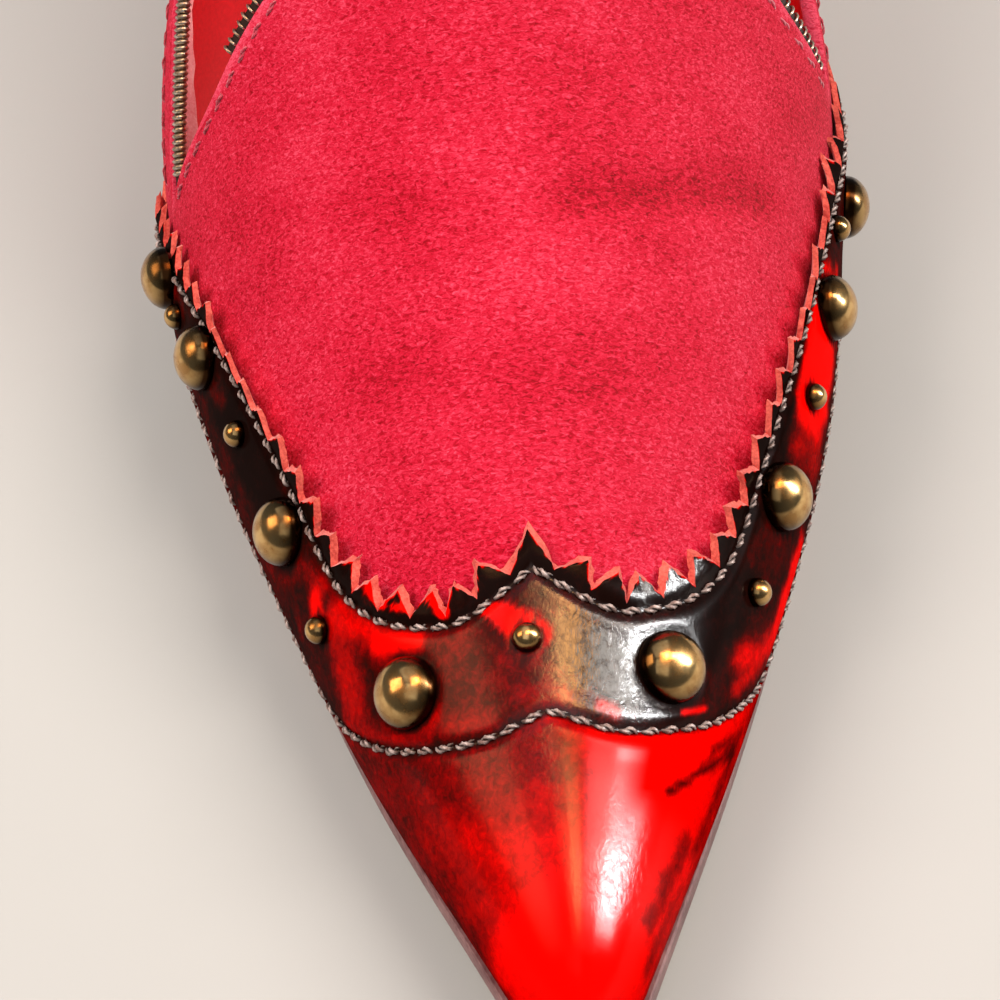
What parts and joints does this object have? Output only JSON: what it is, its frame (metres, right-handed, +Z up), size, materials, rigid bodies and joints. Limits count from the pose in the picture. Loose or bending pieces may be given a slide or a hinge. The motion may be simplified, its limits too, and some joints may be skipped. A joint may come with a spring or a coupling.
{
  "type": "pump",
  "caption": "Pointed-toe pump with a high suede tongue, a pinked and studded leather wing tip, zip-tooth trim along the collar and a slim covered heel.",
  "frame": {"origin": "on the floor under the middle of the shoe's box", "axes": "+Y from toe to heel, +X towards the inner side of the foot, +Z up from the floor"},
  "size_m": [0.0906, 0.2484, 0.1373],
  "materials": {
    "suede": "napped suede with a smooth lining",
    "burnished_leather": "glossy, hand burnished red to black",
    "sock": "smooth satin lining leather",
    "sole_leather": "buffed sole leather with a waxed edge",
    "heel_cover": "glossy burnished leather cover",
    "top_piece": "hard matt rubber",
    "zip_metal": "antique gunmetal plating",
    "stud_brass": "polished, lightly aged"
  },
  "bodies": {
    "root": {"upper": "suede", "wing_tip": "burnished_leather", "insole": "sock", "outsole": "sole_leather", "heel": "heel_cover", "top_piece": "top_piece", "zip_tongue": "zip_metal", "zip_topline": "zip_metal", "stud_small_centre": "stud_brass", "stud_large_outer_1": "stud_brass", "stud_large_outer_2": "stud_brass", "stud_large_outer_3": "stud_brass", "stud_large_outer_4": "stud_brass", "stud_large_inner_1": "stud_brass", "stud_large_inner_2": "stud_brass", "stud_large_inner_3": "stud_brass", "stud_large_inner_4": "stud_brass", "stud_small_outer_1": "stud_brass", "stud_small_outer_2": "stud_brass", "stud_small_outer_3": "stud_brass", "stud_small_inner_1": "stud_brass", "stud_small_inner_2": "stud_brass", "stud_small_inner_3": "stud_brass"}
  },
  "joints": []
}
